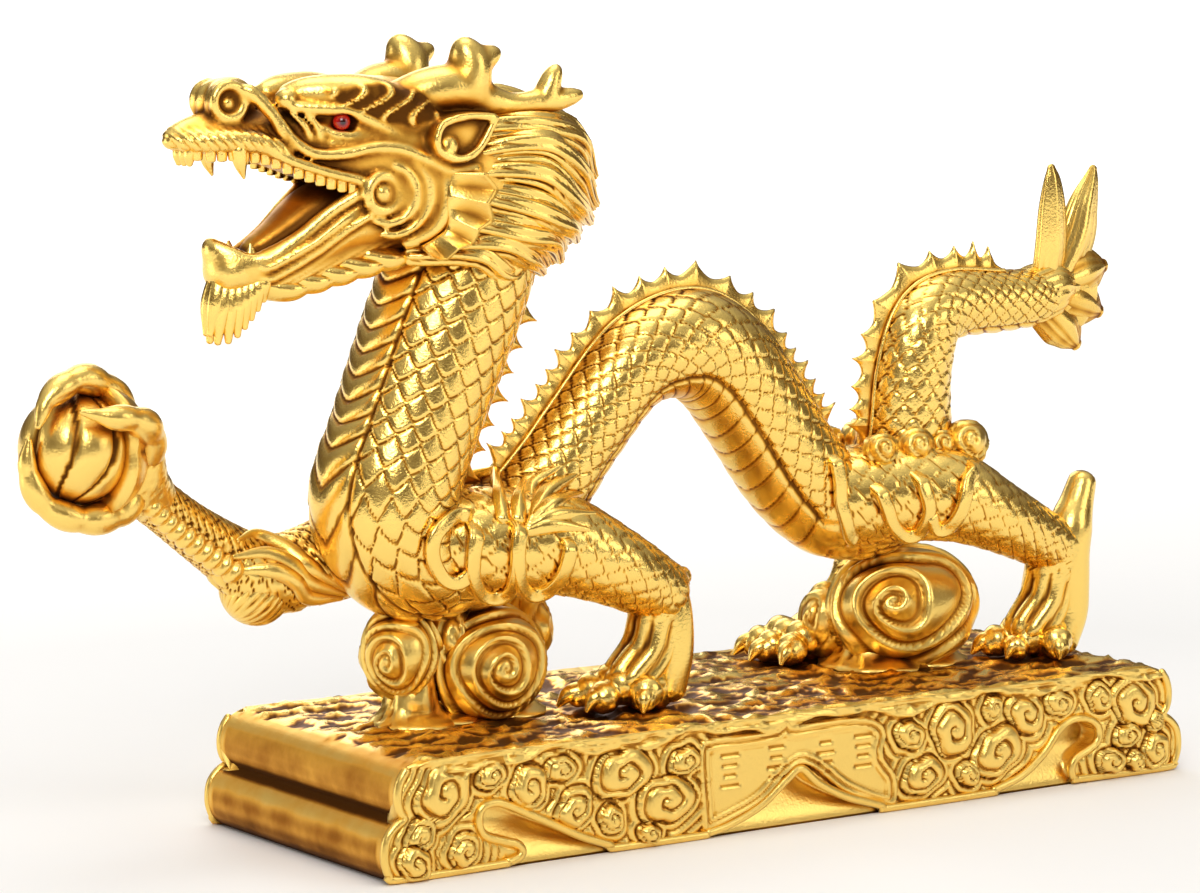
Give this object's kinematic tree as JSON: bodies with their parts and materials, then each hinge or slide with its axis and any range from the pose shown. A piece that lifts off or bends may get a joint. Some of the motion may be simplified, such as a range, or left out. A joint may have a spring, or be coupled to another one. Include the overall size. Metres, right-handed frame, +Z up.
{
  "type": "dragon sculpture",
  "caption": "Gilded cast dragon with an arched back, open jaws and a raised claw holding a pearl, standing on cloud supports on a scrolled plinth; a desk ornament.",
  "frame": {"origin": "middle of the plinth's underside", "axes": "+X along the plinth towards the tail, -X is where the head looks; -Y is the front with the tablet; +Z up"},
  "size_m": [0.3288, 0.089, 0.1984],
  "materials": {
    "dragon_gold": "polished gilt with brown patina in the recesses",
    "plinth_gold": "polished gilt with brown patina in the recesses",
    "eye_bead": "glossy red bead"
  },
  "bodies": {
    "root": {"dragon": "dragon_gold", "plinth": "plinth_gold", "eye_near": "eye_bead", "eye_far": "eye_bead"}
  },
  "joints": []
}
